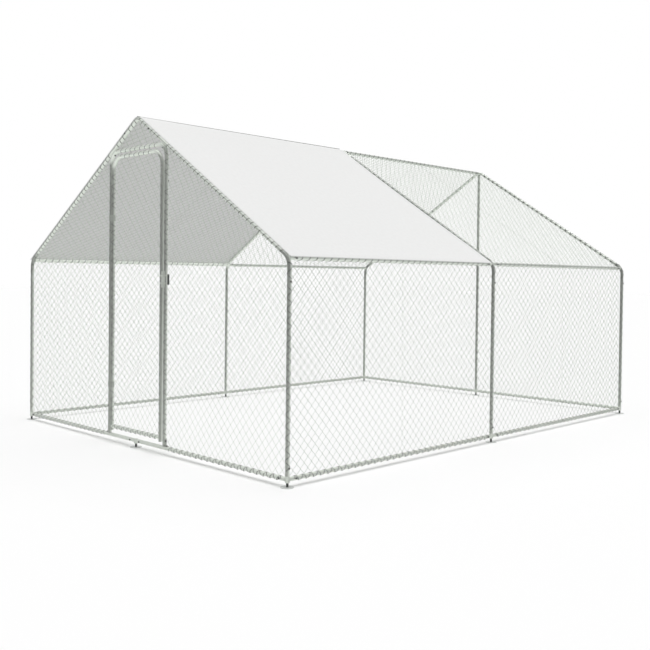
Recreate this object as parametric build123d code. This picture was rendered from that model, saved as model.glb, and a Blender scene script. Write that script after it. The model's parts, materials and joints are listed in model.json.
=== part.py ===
from build123d import *
import math
import os

# Walk-in poultry run: a gabled tube frame with wire netting on the walls, the
# gables and the roof, a tube-framed door in the front gable and a cloth cover
# over the front bay of the roof. Millimetres, +Z up. The origin is on the ground
# under the middle of the run, +X is to the right and the front gable faces -Y.

# Run, from tube axis to tube axis
run_width = 3000.0
bay_length = 1950.0
rail_height = 44.0
eave_rise = 1212.0
peak_rise = 2155.0

# Tubes and their bends
tube_od = 25.0
tube_wall = 1.2
eave_bend_radius = 90.0
eave_leg = 40.0
ridge_bend_radius = 65.0
ridge_arm = 130.0

# Spigots that the tubes slide on, and the clearances
spigot_wall = 1.5
spigot_reach = 80.0
swage_step = 3.0
hub_margin = 6.0
slip_gap = 0.25
seat_gap = 0.3
cut_overrun = 1.0

# Feet
foot_disc_diameter = 77.0
foot_disc_thickness = 3.0
foot_stud_diameter = 14.0
foot_socket_depth = 15.0

# Hexagon-headed joint screws, with their distance from the joint's axis
screw_diameter = 6.0
screw_length = 9.0
screw_head_sides = 6
screw_head_width = 10.0
screw_head_height = 4.0
screw_hole_gap = 0.25
rail_screw_offset = 55.0
post_screw_offset = 62.0
swage_screw_offset = 40.0

# Doorway
jamb_offset = 330.0
header_bend_radius = 80.0
header_leg = 200.0
bracket_width = 16.0
bracket_thickness = 2.0
bracket_height = 48.5
bracket_foot = 30.0
bracket_screw_margin = 15.0
bracket_net_gap = 15.0

# Door leaf
door_latch_gap = 19.8
door_top_drop = 38.0
door_bend_radius = 100.0
door_leg = 200.0
door_bottom_rise = 60.0
stile_end_rise = 34.0

# Door hinges: straps bent round the jamb and the stile
strap_wall = 1.6
strap_height = 40.0
lower_strap_rise = 330.0
upper_strap_rise = 1480.0
hinge_gap = 0.3

# Door latch: a two-pronged bolt that slides across the stile, on a plate that reaches towards the door
latch_rise = 1082.0
latch_plate_width = 38.0
latch_plate_reach = 28.0
latch_plate_height = 104.0
latch_plate_thickness = 2.0
latch_screw_margin = 9.0
prong_spacing = 48.0
prong_diameter = 6.0
prong_gap = 0.1
guide_wall = 2.0
guide_length = 28.0
grip_width = 10.0
grip_end = 6.5
grip_thickness = 8.0
grip_gap = 14.5
latch_overreach = 8.6

# Netting: one holed sheet for each panel, with one gap for four by four of the wire's diamonds
net_gap_width = 230.0
net_gap_height = 256.0
net_strand = 2.5
net_border = 4.0
net_thickness = 1.6
smallest_gap_share = 0.04

# Roof cover
cover_thickness = 1.0
cover_overhang = 8.0
cover_rear_gap = 35.0
cover_edge_rise = 7.0

# Sizes that follow from the ones above
tube_r = tube_od / 2
bore_r = tube_r - tube_wall
spigot_r = bore_r - slip_gap
spigot_bore_r = spigot_r - spigot_wall
butt_reach = tube_r + seat_gap
half_width = run_width / 2
slope = math.atan2(peak_rise - eave_rise, half_width)
eave_level = rail_height + eave_rise
peak_level = rail_height + peak_rise
bend_tangent = eave_bend_radius * math.tan((math.pi / 2 - slope) / 2)
post_top = eave_level - bend_tangent - eave_leg
eave_inset = eave_bend_radius * (1 - math.cos(math.asin(bend_tangent / eave_bend_radius)))
eave_offset = half_width - eave_inset
ridge_level = peak_level - ridge_bend_radius * (1 / math.cos(slope) - 1)
ridge_inner_r = ridge_bend_radius - tube_r
centre_post_top = ridge_level - ridge_bend_radius + math.sqrt(ridge_inner_r**2 - tube_r**2) - seat_gap
hub_top = rail_height + tube_r + hub_margin
hub_bottom = rail_height - tube_r - hub_margin
screw_hole_r = screw_diameter / 2 + screw_hole_gap
screw_head_r = screw_head_width / 2 / math.cos(math.pi / screw_head_sides)

# The surround's rounded corners touch the rafters from below
header_level = (
    peak_level
    - math.tan(slope) * (jamb_offset - header_bend_radius)
    + header_bend_radius
    - (header_bend_radius + tube_od + seat_gap) / math.cos(slope)
)
header_joint = header_level - header_leg
header_inner_r = header_bend_radius - tube_r
header_screw_seat = header_bend_radius - math.sqrt(header_inner_r**2 - screw_head_r**2)

strap_inner_r = tube_r + hinge_gap
strap_outer_r = strap_inner_r + strap_wall
strap_reach = strap_outer_r + seat_gap
hinge_spacing = 2 * strap_inner_r + strap_wall
left_stile = -jamb_offset + hinge_spacing
right_stile = jamb_offset - tube_od - door_latch_gap
door_top = header_level - door_top_drop
door_joint = door_top - door_leg
door_bottom = rail_height + door_bottom_rise

arch_at = {"front": -bay_length, "mid": 0.0, "rear": bay_length}
bays = {"front": ("front", "mid"), "rear": ("mid", "rear")}
sides = {"left": -1, "right": 1}
front = arch_at["front"]
rear = arch_at["rear"]

up = Vector(0, 0, 1)
down = Vector(0, 0, -1)
outward_y = {"front": Vector(0, -1, 0), "rear": Vector(0, 1, 0)}

parts = {}
screws = []


def rod(start, end, radius):
    """A round bar between two points."""
    axis = end - start
    bar = Cylinder(radius, axis.length, align=(Align.CENTER, Align.CENTER, Align.MIN))
    return Plane(origin=start, z_dir=axis) * bar


def tube(start, end):
    """A straight frame tube between two points."""
    return rod(start, end, tube_r) - rod(start, end, bore_r)


def bent_tube(points, radius):
    """A frame tube along straight runs, bent to one radius at each corner."""
    path = FilletPolyline(*points, radius=radius)
    section = Plane(origin=points[0], z_dir=points[1] - points[0])
    outside = sweep(section * Circle(tube_r), path=path)
    inside = sweep(section * Circle(bore_r), path=path)
    return outside - inside


def stub(axis_point, direction):
    """A hollow spigot that stands out of the side of a hub or a bent tube."""
    tip = axis_point + direction * (butt_reach + spigot_reach)
    mouth = axis_point + direction * tube_r
    return rod(axis_point, tip, spigot_r), rod(mouth, tip, spigot_bore_r)


def with_stubs(body, axis_point, directions):
    """The body with a spigot in each direction from one point of its axis."""
    pairs = [stub(axis_point, direction) for direction in directions]
    for solid, _ in pairs:
        body = body + solid
    for _, bore in pairs:
        body = body - bore
    return body


def swaged_end(end, direction):
    """The drawn-down end of a tube, which slides into the next tube."""
    shoulder = end - direction * swage_step
    tip = end + direction * spigot_reach
    solid = rod(shoulder, end, tube_r) + rod(shoulder, tip, spigot_r)
    return solid - rod(shoulder, tip, spigot_bore_r)


def fasten(names, axis_point, outward, seat=tube_r, length=screw_length):
    """Drill the named pieces from one side and put a screw in the hole."""
    head_seat = axis_point + outward * seat
    tip = head_seat - outward * length
    overrun = outward * cut_overrun
    hole = rod(tip - overrun, head_seat + overrun, screw_hole_r)
    for name in names:
        parts[name] = parts[name] - hole
    head_plane = Plane(origin=head_seat, z_dir=outward)
    outline = RegularPolygon(screw_head_r, screw_head_sides)
    head = extrude(head_plane * outline, amount=screw_head_height)
    screws.append(head + rod(tip, head_seat, screw_diameter / 2))


def base_joint(place, directions, carries_post):
    """A hub at rail height with a spigot for each rail and for the post."""
    x, y = place
    top = hub_top if carries_post else rail_height + tube_r
    hub = rod(Vector(x, y, hub_bottom), Vector(x, y, top), tube_r)
    joint = with_stubs(hub, Vector(x, y, rail_height), directions)
    if carries_post:
        seat = Vector(x, y, hub_top)
        tip = seat + up * spigot_reach
        joint = joint + rod(seat, tip, spigot_r) - rod(seat, tip, spigot_bore_r)
    socket_foot = Vector(x, y, hub_bottom)
    socket = rod(socket_foot, socket_foot + up * foot_socket_depth, foot_stud_diameter / 2 + slip_gap)
    return joint - socket


def ground_foot(place):
    """A disc on the ground with a stud up into the hub above it."""
    x, y = place
    disc = Cylinder(
        foot_disc_diameter / 2, foot_disc_thickness, align=(Align.CENTER, Align.CENTER, Align.MIN)
    )
    stud = rod(Vector(0, 0, 0), Vector(0, 0, hub_bottom + foot_socket_depth), foot_stud_diameter / 2)
    return Pos(x, y, 0) * (disc + stud)


def bay_directions(arch):
    """The ways along the run from one arch to the arches next to it."""
    ways = []
    for near, far in bays.values():
        if arch == near:
            ways.append(Vector(0, 1, 0))
        if arch == far:
            ways.append(Vector(0, -1, 0))
    return ways


# Base joints, posts and feet
foot_places = {}
for arch, y in arch_at.items():
    for side, sign in sides.items():
        foot_places[f"{arch}_{side}"] = (sign * half_width, y)
foot_places["front_centre"] = (0.0, front)
foot_places["rear_centre"] = (0.0, rear)

for corner, place in foot_places.items():
    arch, side = corner.split("_")
    if side == "centre":
        directions = [Vector(1, 0, 0), Vector(-1, 0, 0)]
    else:
        directions = bay_directions(arch)
        if arch != "mid":
            directions = directions + [Vector(-sides[side], 0, 0)]
    parts[f"{corner}_base_joint"] = base_joint(place, directions, corner != "front_centre")

parts["ground_feet"] = Compound(children=[ground_foot(place) for place in foot_places.values()])

for corner, (x, y) in foot_places.items():
    arch, side = corner.split("_")
    if corner == "front_centre":
        continue
    outward = outward_y["rear"] if side == "centre" else Vector(sides[side], 0, 0)
    top = centre_post_top if side == "centre" else post_top
    parts[f"{corner}_post"] = tube(Vector(x, y, hub_top), Vector(x, y, top))
    low_screw = Vector(x, y, rail_height + post_screw_offset)
    fasten([f"{corner}_post", f"{corner}_base_joint"], low_screw, outward)

# Bottom rails
for side, sign in sides.items():
    x = sign * half_width
    for bay, (near, far) in bays.items():
        rail = f"{side}_wall_{bay}_rail"
        start = Vector(x, arch_at[near] + butt_reach, rail_height)
        end = Vector(x, arch_at[far] - butt_reach, rail_height)
        parts[rail] = tube(start, end)
        for arch, step in ((near, rail_screw_offset), (far, -rail_screw_offset)):
            point = Vector(x, arch_at[arch] + step, rail_height)
            fasten([rail, f"{arch}_{side}_base_joint"], point, Vector(sign, 0, 0))

for gable, outward in outward_y.items():
    y = arch_at[gable]
    for side, sign in sides.items():
        rail = f"{gable}_gable_{side}_rail"
        start = Vector(sign * butt_reach, y, rail_height)
        end = Vector(sign * (half_width - butt_reach), y, rail_height)
        parts[rail] = tube(start, end)
        centre_point = Vector(sign * rail_screw_offset, y, rail_height)
        fasten([rail, f"{gable}_centre_base_joint"], centre_point, outward)
        corner_point = Vector(sign * (half_width - rail_screw_offset), y, rail_height)
        fasten([rail, f"{gable}_{side}_base_joint"], corner_point, outward)

# Rafters, bent at the eave, with spigots for the eave rails
for arch, y in arch_at.items():
    for side, sign in sides.items():
        name = f"{arch}_{side}_rafter"
        foot = Vector(sign * half_width, y, post_top)
        corner = Vector(sign * half_width, y, eave_level)
        along = Vector(-sign * math.cos(slope), 0, math.sin(slope))
        head = Vector(0, y, peak_level) - along * ridge_arm
        body = bent_tube([foot, corner, head], eave_bend_radius) + swaged_end(foot, down)
        parts[name] = with_stubs(body, Vector(sign * eave_offset, y, eave_level), bay_directions(arch))
        point = foot + down * swage_screw_offset
        fasten([name, f"{arch}_{side}_post"], point, Vector(sign, 0, 0))

# Ridge joints, bent to the roof's slope
for arch, y in arch_at.items():
    name = f"{arch}_ridge_joint"
    peak = Vector(0, y, peak_level)
    arms = {side: Vector(sign * math.cos(slope), 0, -math.sin(slope)) for side, sign in sides.items()}
    ends = {side: peak + arm * ridge_arm for side, arm in arms.items()}
    body = bent_tube([ends["left"], peak, ends["right"]], ridge_bend_radius)
    for side, arm in arms.items():
        body = body + swaged_end(ends[side], arm)
    directions = bay_directions(arch)
    if arch == "rear":
        directions = directions + [down]
    parts[name] = with_stubs(body, Vector(0, y, ridge_level), directions)
    for side, sign in sides.items():
        underside = Vector(-sign * math.sin(slope), 0, -math.cos(slope))
        outward = outward_y.get(arch, underside)
        point = ends[side] + arms[side] * swage_screw_offset
        fasten([name, f"{arch}_{side}_rafter"], point, outward)

post_head = Vector(0, rear, ridge_level - post_screw_offset)
fasten(["rear_centre_post", "rear_ridge_joint"], post_head, outward_y["rear"])

# Ridge tubes and eave rails
for bay, (near, far) in bays.items():
    runs = {f"{bay}_ridge_tube": (0.0, ridge_level, "ridge_joint", 1)}
    for side, sign in sides.items():
        runs[f"{side}_{bay}_eave_rail"] = (sign * eave_offset, eave_level, f"{side}_rafter", sign)
    for name, (x, z, holder, sign) in runs.items():
        start = Vector(x, arch_at[near] + butt_reach, z)
        end = Vector(x, arch_at[far] - butt_reach, z)
        parts[name] = tube(start, end)
        for arch, step in ((near, rail_screw_offset), (far, -rail_screw_offset)):
            point = Vector(x, arch_at[arch] + step, z)
            fasten([name, f"{arch}_{holder}"], point, Vector(sign, 0, 0))

# Doorway: two jambs on the bottom rails under a bent header
header_points = [
    Vector(-jamb_offset, front, header_joint),
    Vector(-jamb_offset, front, header_level),
    Vector(jamb_offset, front, header_level),
    Vector(jamb_offset, front, header_joint),
]
header = bent_tube(header_points, header_bend_radius)
for end in (header_points[0], header_points[-1]):
    header = header + swaged_end(end, down)
parts["door_header"] = header

brackets = []
for side, sign in sides.items():
    jamb = f"{side}_jamb"
    x = sign * jamb_offset
    foot_level = rail_height + butt_reach
    parts[jamb] = tube(Vector(x, front, foot_level), Vector(x, front, header_joint))
    joint_screw = Vector(x, front, header_joint - swage_screw_offset)
    fasten([jamb, "door_header"], joint_screw, Vector(0, 1, 0))

    # The corner of the header is bolted up into the rafter that it touches
    inside = Vector(-sign * math.sin(slope), 0, -math.cos(slope))
    bend_centre = Vector(sign * (jamb_offset - header_bend_radius), front, header_level - header_bend_radius)
    through = tube_od + seat_gap + tube_wall + screw_length
    fasten(
        ["door_header", f"front_{side}_rafter"],
        bend_centre - inside * header_bend_radius,
        inside,
        seat=header_screw_seat,
        length=through,
    )

    # An angle bracket holds the jamb's foot to the rail
    face = jamb_offset + tube_r
    upright = Box(
        bracket_thickness, bracket_width, bracket_height, align=(Align.MIN, Align.CENTER, Align.MIN)
    )
    flat = Box(
        bracket_foot, bracket_width, bracket_thickness, align=(Align.MIN, Align.CENTER, Align.MIN)
    )
    angle = Pos(face, front, rail_height + tube_r) * (upright + flat)
    parts[f"bracket_{side}"] = angle if sign > 0 else mirror(angle, about=Plane.YZ)
    plate_seat = tube_r + bracket_thickness
    jamb_point = Vector(x, front, rail_height + tube_r + bracket_height - bracket_screw_margin)
    fasten([f"bracket_{side}", jamb], jamb_point, Vector(sign, 0, 0), seat=plate_seat)
    rail_point = Vector(sign * (face + bracket_foot - bracket_screw_margin), front, rail_height)
    fasten([f"bracket_{side}", f"front_gable_{side}_rail"], rail_point, up, seat=plate_seat)
    brackets.append(parts.pop(f"bracket_{side}"))
parts["jamb_brackets"] = Compound(children=brackets)

# Door leaf: an arch on two stiles, with a bottom rail welded between them
arch_points = [
    Vector(left_stile, front, door_joint),
    Vector(left_stile, front, door_top),
    Vector(right_stile, front, door_top),
    Vector(right_stile, front, door_joint),
]
door_arch = bent_tube(arch_points, door_bend_radius)
for end in (arch_points[0], arch_points[-1]):
    door_arch = door_arch + swaged_end(end, down)
parts["door_arch"] = door_arch

bottom_rail = tube(Vector(left_stile, front, door_bottom), Vector(right_stile, front, door_bottom))
for use, x in (("hinge", left_stile), ("latch", right_stile)):
    stile_foot = Vector(x, front, rail_height + stile_end_rise)
    parts[f"door_{use}_stile"] = tube(stile_foot, Vector(x, front, door_joint))
    bottom_rail = bottom_rail - rod(stile_foot, Vector(x, front, door_joint), butt_reach)
parts["door_bottom_rail"] = bottom_rail


def strap_bar(x, level, radius):
    """A bar over the height of a hinge strap, round one upright of the doorway."""
    foot = Vector(x, front, level)
    return rod(foot, foot + up * strap_height, radius)


# Hinge straps, each resting on a screw in the back of the jamb
straps = []
for rise in (lower_strap_rise, upper_strap_rise):
    level = rail_height + rise
    strap = strap_bar(-jamb_offset, level, strap_outer_r) + strap_bar(left_stile, level, strap_outer_r)
    for x in (-jamb_offset, left_stile):
        strap = strap - strap_bar(x, level, strap_inner_r)
    straps.append(strap)
    rest = Vector(-jamb_offset, front, level - seat_gap - screw_head_r)
    fasten(["left_jamb"], rest, Vector(0, 1, 0))
parts["hinge_straps"] = Compound(children=straps)

# Latch: a plate with two guides on the right jamb, and the bolt that slides in them
latch_level = rail_height + latch_rise
plate_back = front - tube_r
plate_front = plate_back - latch_plate_thickness
guide_r = prong_diameter / 2 + prong_gap + guide_wall
prong_y = plate_front - guide_r
plate_left = jamb_offset - latch_plate_reach
guide_start = plate_left + prong_gap
prong_levels = [latch_level - prong_spacing / 2, latch_level + prong_spacing / 2]

guide_run = Vector(guide_length, 0, 0)
latch_travel = guide_start - (right_stile - tube_r) + latch_overreach

plate = Box(
    latch_plate_width,
    latch_plate_thickness,
    latch_plate_height,
    align=(Align.MIN, Align.MAX, Align.CENTER),
)
latch_bracket = Pos(plate_left, plate_back, latch_level) * plate
weld = Box(guide_length, guide_r, guide_r, align=(Align.MIN, Align.MIN, Align.CENTER))
mouths = [Vector(guide_start, prong_y, z) for z in prong_levels]
for mouth in mouths:
    latch_bracket = latch_bracket + rod(mouth, mouth + guide_run, guide_r) + Pos(*mouth) * weld
for mouth in mouths:
    latch_bracket = latch_bracket - rod(mouth, mouth + guide_run, prong_diameter / 2 + prong_gap)
parts["latch_bracket"] = latch_bracket
latch_screw_offset = latch_plate_height / 2 - latch_screw_margin
plate_screw_seat = tube_r + latch_plate_thickness
for step in (-latch_screw_offset, latch_screw_offset):
    point = Vector(jamb_offset, front, latch_level + step)
    fasten(["latch_bracket", "right_jamb"], point, outward_y["front"], seat=plate_screw_seat)

grip_height = prong_spacing + prong_diameter + 2 * grip_end
grip_start = guide_start + guide_length + latch_travel + grip_gap
grip = Box(grip_width, grip_thickness, grip_height, align=(Align.MIN, Align.CENTER, Align.CENTER))
grip = fillet(grip.edges().filter_by(Axis.Y), grip_thickness / 2)
latch_bolt = Pos(grip_start, prong_y, latch_level) * grip
prong_run = Vector(grip_start + grip_width / 2 - guide_start, 0, 0)
for mouth in mouths:
    latch_bolt = latch_bolt + rod(mouth, mouth + prong_run, prong_diameter / 2)
parts["latch_bolt"] = latch_bolt


def corner_points(before, corner, after, radius):
    """The start, middle and end of the arc that rounds one corner of an outline."""
    corner = Vector(*corner)
    if radius == 0:
        return [corner]
    to_before = (Vector(*before) - corner).normalized()
    to_after = (Vector(*after) - corner).normalized()
    half_angle = math.radians(to_before.get_angle(to_after)) / 2
    tangent = radius / math.tan(half_angle)
    middle = (to_before + to_after).normalized() * (radius / math.sin(half_angle) - radius)
    return [corner + to_before * tangent, corner + middle, corner + to_after * tangent]


def keep_inside(shape, start, end, margin):
    """The piece of a polygon at least a margin to the left of a line."""
    along = (end - start).normalized()
    depths = [along.X * (p - start).Y - along.Y * (p - start).X - margin for p in shape]
    kept = []
    for i, point in enumerate(shape):
        last, last_depth, depth = shape[i - 1], depths[i - 1], depths[i]
        if (depth > 0) != (last_depth > 0):
            kept.append(last + (point - last) * (last_depth / (last_depth - depth)))
        if depth > 0:
            kept.append(point)
    return kept


def polygon_area(points):
    """The area inside a polygon."""
    pairs = zip(points, points[1:] + points[:1])
    return abs(sum(a.X * b.Y - a.Y * b.X for a, b in pairs)) / 2


def net_gaps(outline):
    """The diamond gaps of a net, in whole rows across it and cut off at its border."""
    low_x, high_x = min(p.X for p in outline), max(p.X for p in outline)
    low_y, high_y = min(p.Y for p in outline), max(p.Y for p in outline)
    first = Vector(low_x + net_border, low_y + net_border)
    room_x = high_x - low_x - 2 * net_border
    room_y = high_y - low_y - 2 * net_border
    columns = max(1, round(room_x / net_gap_width))
    rows = max(1, round(room_y / net_gap_height))
    half_w = room_x / columns / 2
    half_h = room_y / rows / 2
    side_distance = half_w * half_h / math.hypot(half_w, half_h)
    share = 1 - net_strand / 2 / side_distance
    reach_x = Vector(half_w * share, 0)
    reach_y = Vector(0, half_h * share)
    gaps = []
    for i in range(2 * columns + 1):
        for j in range(2 * rows + 1):
            if (i + j) % 2:
                continue
            centre = first + Vector(i * half_w, j * half_h)
            gap = [centre + reach_x, centre + reach_y, centre - reach_x, centre - reach_y]
            for start, end in zip(outline, outline[1:] + outline[:1]):
                gap = keep_inside(gap, start, end, net_border)
            if len(gap) > 2 and polygon_area(gap) > smallest_gap_share * 2 * half_w * half_h:
                gaps.append(gap)
    return gaps


def net(plane, corners):
    """A holed sheet on a plane; corners run anticlockwise as (x, y, radius)."""
    edges = []
    outline = []
    count = len(corners)
    for i, (x, y, radius) in enumerate(corners):
        before = corners[i - 1][:2]
        after = corners[(i + 1) % count][:2]
        arc = corner_points(before, (x, y), after, radius)
        if outline:
            edges.append(Line(outline[-1], arc[0]))
        if len(arc) > 1:
            edges.append(ThreePointArc(*arc))
        outline.extend(arc)
    edges.append(Line(outline[-1], outline[0]))
    gaps = net_gaps(outline)
    holes = [Wire.make_polygon(gap) for gap in gaps]
    sheet = Face(Wire([edge.edge() for edge in edges]), holes)
    print("net panel with", len(gaps), "gaps")
    back = plane.offset(-net_thickness / 2)
    return extrude(back * sheet, amount=net_thickness)


def mirrored(corners):
    """The same outline on the other side of the run's middle."""
    return [(-x, y, radius) for x, y, radius in reversed(corners)]


def strip_net(start, end):
    """A net over one bay between two level tubes; start and end are where their axes begin."""
    across = end - start
    plane = Plane(origin=start, x_dir=(0, 1, 0), z_dir=Vector(0, 1, 0).cross(across))
    near = butt_reach
    far_x = bay_length - butt_reach
    far_y = across.length - butt_reach
    return net(plane, [(near, near, 0), (far_x, near, 0), (far_x, far_y, 0), (near, far_y, 0)])


def rafter_underside(x):
    """The level at which a gable net meets the rafter."""
    return peak_level - butt_reach / math.cos(slope) - math.tan(slope) * x


# Netting on the side walls and the roof slopes
for side, sign in sides.items():
    wall_panels = []
    roof_panels = []
    for near, _ in bays.values():
        y = arch_at[near]
        rail = Vector(sign * half_width, y, rail_height)
        eave = Vector(sign * eave_offset, y, eave_level)
        ridge = Vector(0, y, ridge_level)
        wall_panels.append(strip_net(rail, eave))
        roof_panels.append(strip_net(eave, ridge))
    parts[f"{side}_wall_net"] = Compound(children=wall_panels)
    parts[f"{side}_roof_net"] = Compound(children=roof_panels)

# Netting in the gables
net_foot = rail_height + butt_reach
post_edge = half_width - butt_reach
eave_corner = (post_edge, rafter_underside(post_edge), eave_bend_radius - butt_reach)
jamb_edge = jamb_offset + strap_reach
front_side = [
    (jamb_edge + bracket_foot + bracket_net_gap, net_foot, 0),
    (post_edge, net_foot, 0),
    eave_corner,
    (jamb_edge, rafter_underside(jamb_edge), 0),
    (jamb_edge, net_foot + bracket_height + bracket_net_gap, 0),
]
header_edge = header_level + butt_reach
header_reach = (rafter_underside(0) - header_edge) / math.tan(slope)
above_header = [
    (-header_reach, header_edge, 0),
    (header_reach, header_edge, 0),
    (0, rafter_underside(0), ridge_bend_radius - butt_reach),
]
rear_top = ridge_bend_radius * math.sin(slope)
rear_side = [
    (butt_reach, net_foot, 0),
    (post_edge, net_foot, 0),
    eave_corner,
    (rear_top, rafter_underside(rear_top), 0),
    (butt_reach, rafter_underside(rear_top), 0),
]
front_plane = Plane(origin=(0, front, 0), x_dir=(1, 0, 0), z_dir=(0, -1, 0))
rear_plane = Plane(origin=(0, rear, 0), x_dir=(1, 0, 0), z_dir=(0, -1, 0))
parts["front_gable_net"] = Compound(
    children=[net(front_plane, outline) for outline in (mirrored(front_side), above_header, front_side)]
)
parts["rear_gable_net"] = Compound(
    children=[net(rear_plane, outline) for outline in (mirrored(rear_side), rear_side)]
)

# Netting in the door
door_foot = door_bottom + butt_reach
door_head = door_top - butt_reach
door_left = left_stile + strap_reach
door_right = right_stile - butt_reach
door_outline = [
    (door_left, door_foot, 0),
    (door_right, door_foot, 0),
    (door_right, door_head, door_bend_radius - butt_reach),
    (door_left, door_head, door_bend_radius - strap_reach),
]
parts["door_net"] = net(front_plane, door_outline)


def under_roof(offset):
    """The end view of everything inside a line at an offset outside the arch."""
    wall = half_width + offset
    peak = peak_level + offset / math.cos(slope)
    eave = peak - math.tan(slope) * wall
    points = [(-wall, post_top), (-wall, eave), (0, peak), (wall, eave), (wall, post_top)]
    radii = [eave_bend_radius + offset, ridge_bend_radius + offset, eave_bend_radius + offset]
    outline = FilletPolyline(*points, radius=radii)
    return make_face([*outline.edges(), Line(points[-1], points[0])])


# Cover over the front bay, lying on the front rafters and the ridge; it ends above the eave screws
# and short of the middle rafters
cover_end = under_roof(butt_reach + cover_thickness) - under_roof(butt_reach)
cover_edge_level = eave_level + cover_edge_rise
below_edge = Pos(0, cover_edge_level) * Rectangle(
    2 * run_width, 2 * eave_level, align=(Align.CENTER, Align.MAX)
)
cover_start = front_plane.offset(cover_overhang)
cover_length = cover_overhang + bay_length - cover_rear_gap
parts["roof_cover"] = extrude(cover_start * (cover_end - below_edge), amount=-cover_length)

parts["joint_screws"] = Compound(children=screws)

os.makedirs("parts", exist_ok=True)
for name, shape in parts.items():
    export_step(shape, f"parts/{name}.step")
print(len(parts), "nodes")
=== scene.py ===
import json
import math

import bpy
from mathutils import Matrix, Vector, noise


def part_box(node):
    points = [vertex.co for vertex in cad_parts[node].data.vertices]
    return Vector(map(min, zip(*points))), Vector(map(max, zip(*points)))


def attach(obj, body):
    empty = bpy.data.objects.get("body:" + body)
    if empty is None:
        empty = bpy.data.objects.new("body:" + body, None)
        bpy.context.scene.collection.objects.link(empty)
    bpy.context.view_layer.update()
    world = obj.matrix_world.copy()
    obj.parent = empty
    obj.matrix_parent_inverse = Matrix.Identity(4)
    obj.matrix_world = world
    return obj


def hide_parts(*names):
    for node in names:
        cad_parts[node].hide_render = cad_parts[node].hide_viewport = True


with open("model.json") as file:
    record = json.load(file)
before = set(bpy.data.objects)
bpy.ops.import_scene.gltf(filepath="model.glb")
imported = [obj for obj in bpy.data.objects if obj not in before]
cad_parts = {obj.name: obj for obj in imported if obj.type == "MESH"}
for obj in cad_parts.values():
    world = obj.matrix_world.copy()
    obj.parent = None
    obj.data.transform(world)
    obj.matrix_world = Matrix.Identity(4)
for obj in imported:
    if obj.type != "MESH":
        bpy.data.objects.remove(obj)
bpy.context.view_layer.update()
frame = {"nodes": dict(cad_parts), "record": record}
scene = bpy.context.scene

# Up, from the door gable to the rear gable, and to the right as seen from the front
up = Vector((0, 0, 1))
along_run = Vector((0, 1, 0))
across_run = Vector((1, 0, 0))


def middle(node):
    """The middle of a CAD node's box."""
    low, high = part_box(node)
    return (low + high) / 2


# Where the frame's tubes run, in metres
tube_r = 0.0125
eave_bend = 0.090
ridge_bend = 0.065
header_bend = 0.080
door_bend = 0.100
peak_level = 2.199
half_width = middle("right_wall_front_rail").x
rail_level = middle("right_wall_front_rail").z
eave_offset = middle("right_front_eave_rail").x
eave_level = middle("right_front_eave_rail").z
ridge_level = middle("front_ridge_tube").z
front_y = middle("left_jamb").y
mid_y = middle("mid_right_post").y
rear_y = middle("rear_right_post").y
jamb_offset = middle("right_jamb").x
jamb_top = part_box("left_jamb")[1].z
hinge_stile_x = middle("door_hinge_stile").x
latch_stile_x = middle("door_latch_stile").x
door_foot = middle("door_bottom_rail").z
door_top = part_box("door_arch")[1].z - tube_r
header_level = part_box("door_header")[1].z - tube_r
slope = math.atan2(peak_level - eave_level, half_width)
bays = ((front_y, mid_y), (mid_y, rear_y))

# Fittings on the tubes; the screws are measured from the tubes' joints
strap_low, strap_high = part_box("hinge_straps")
strap_gap = 0.0147
latch_low, latch_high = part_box("latch_bracket")
bracket_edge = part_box("jamb_brackets")[1].x
bracket_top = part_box("jamb_brackets")[1].z
grip_width = 0.010
grip_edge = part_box("latch_bolt")[1].x - grip_width
screw_head = 0.006
rail_screw = 0.055
post_screw = 0.062
swage_screw = 0.040
ridge_screw = 0.170

# Room that the netting and the wires leave round the fittings
screw_room = 0.012
ridge_screw_room = 0.014
ridge_joint_room = 0.024
eave_joint_room = 0.022
header_room = 0.045
bend_room = 0.004
bracket_room = 0.012
bracket_net_room = 0.010
latch_room = 0.010
strap_room = 0.016
strap_spacing = 0.1
door_corner_room = 0.025
rear_post_room = 0.075
roof_net_edge = 0.008
latch_band = (latch_low.z - latch_room, latch_high.z + latch_room)

# Wire of the netting, of its edges wrapped round the level tubes, and of the ties up the uprights
net_wire_r = 0.0012
edge_wire_r = 0.0023
rail_wire_r = 0.0019
top_wire_r = 0.0021
wire_flat = 0.35
tie_wire_r = 0.0015
tie_flat = 0.4
tie_half_turn = math.radians(112)
tie_points = 9
tie_corner = 0.75 * math.pi
rail_slack = 0.002
slack_power = 3
wire_hop = 0.6
hop_power = 6
diamond_width = 0.0575
diamond_height = 0.064
net_overlap = diamond_width / 8
rail_pitch = diamond_width
post_pitch = diamond_height
gable_pitch = 0.0428
slope_pitch = 0.0583
turn_points = 16
outline_steps = 8
bend_steps = 16

# Cover over the front bay: its place, its hems, how its rear edge lies, its hang and its seam
cover_edge_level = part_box("roof_cover")[0].z
cover_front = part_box("roof_cover")[0].y
cover_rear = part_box("roof_cover")[1].y
cover_lift = 0.0158
cover_cloth = 0.0008
cover_hem = 0.026
cover_hem_rise = 0.0006
cover_hem_rows = (0.0, 0.010, cover_hem - 0.004, cover_hem, cover_hem + 0.004)
cover_row_gap = 0.01
cover_mid_rows = 48
cover_columns = 180
cover_reach = 0.006
cover_skew = 0.030
cover_corner = 0.016
cover_corner_start = 1.25
cover_drop = 0.011
cover_fall = 0.6
cover_belly = 0.6
cover_ripple = 0.0007
ripples_across, ripples_along, ripple_layer = 3.1, 2.3, 0.7
cover_seam = 0.003
cover_seam_crown = 0.9 * cover_seam
cover_seam_rise = (0.0035, 0.0055)


def feed(tree, node, inputs):
    """Feed a node's inputs with values or with the sockets that make them."""
    for name, value in inputs.items():
        if isinstance(value, bpy.types.NodeSocket):
            tree.links.new(value, node.inputs[name])
        else:
            node.inputs[name].default_value = value


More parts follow.
